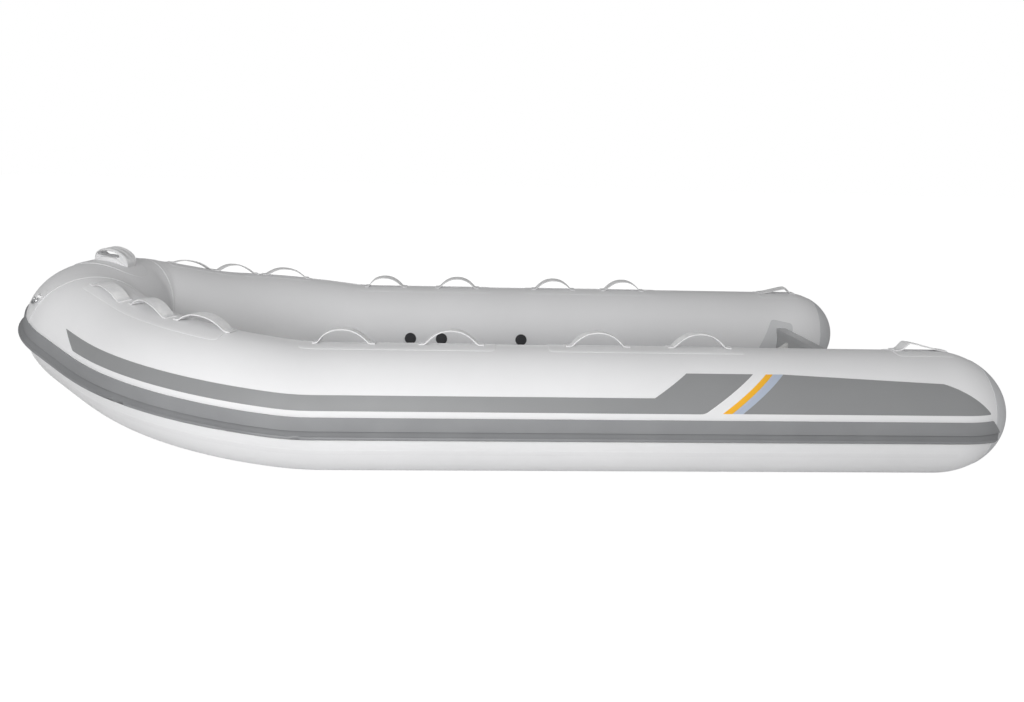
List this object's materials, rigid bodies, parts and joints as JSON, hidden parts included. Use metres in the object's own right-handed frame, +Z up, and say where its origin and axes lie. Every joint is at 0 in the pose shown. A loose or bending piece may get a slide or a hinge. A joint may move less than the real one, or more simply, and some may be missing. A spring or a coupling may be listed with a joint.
{
  "type": "rigid inflatable boat",
  "caption": "Open rigid inflatable boat: large tubes round a deep V hull, webbing hand loops along the top, wide rubbing strake, transom for an outboard motor.",
  "frame": {"origin": "amidships on the centreline, at the waterline", "axes": "+X towards the bow, +Y to port, +Z up"},
  "size_m": [3.8256, 1.8832, 0.9349],
  "materials": {
    "coated_fabric_light": "light grey coated fabric, soft sheen",
    "coated_fabric_grey": "mid grey coated fabric, soft sheen",
    "rubber_grey": "moulded grey rubber",
    "webbing_light": "woven webbing",
    "laminate_white": "white gelcoat",
    "non_slip_grey": "moulded non-slip texture",
    "black_plastic": "moulded black",
    "steel": "polished stainless steel"
  },
  "bodies": {
    "root": {"port_side_tube": "coated_fabric_light", "starboard_side_tube": "coated_fabric_light", "port_bow_tube": "coated_fabric_light", "starboard_bow_tube": "coated_fabric_light", "bow_nose_tube": "coated_fabric_light", "port_stern_dome": "coated_fabric_light", "starboard_stern_dome": "coated_fabric_light", "port_stern_cap": "coated_fabric_light", "starboard_stern_cap": "coated_fabric_light", "port_seam_tapes": "coated_fabric_light", "starboard_seam_tapes": "coated_fabric_light", "port_rubbing_band": "rubber_grey", "starboard_rubbing_band": "rubber_grey", "port_rubbing_ridge": "rubber_grey", "starboard_rubbing_ridge": "rubber_grey", "port_side_panels": "coated_fabric_grey", "starboard_side_panels": "coated_fabric_grey", "orange_stripes": "coated_fabric_light", "blue_stripes": "coated_fabric_light", "port_aft_hand_loops": "webbing_light", "starboard_aft_hand_loops": "webbing_light", "port_middle_hand_loops": "webbing_light", "starboard_middle_hand_loops": "webbing_light", "port_bow_hand_loops": "webbing_light", "starboard_bow_hand_loops": "webbing_light", "port_loop_strips": "coated_fabric_light", "starboard_loop_strips": "coated_fabric_light", "stern_loop_strips": "coated_fabric_light", "port_stern_loop": "webbing_light", "starboard_stern_loop": "webbing_light", "nose_handle_strip": "coated_fabric_light", "nose_handle": "webbing_light", "towing_ring_patches": "coated_fabric_light", "towing_ring_webs": "webbing_light", "port_towing_ring": "steel", "starboard_towing_ring": "steel", "valve_bodies": "black_plastic", "valve_caps": "black_plastic", "hull": "laminate_white", "deck_liner": "laminate_white", "deck_non_slip": "non_slip_grey", "keel_guard": "rubber_grey", "deck_bond_tapes": "coated_fabric_light", "transom_board": "laminate_white", "transom_drains": "black_plastic", "transom_patches": "coated_fabric_grey", "transom_cap": "laminate_white", "inner_motor_pad": "black_plastic", "outer_motor_pad": "black_plastic", "transom_knees": "laminate_white", "stern_eyes": "steel"}
  },
  "joints": []
}
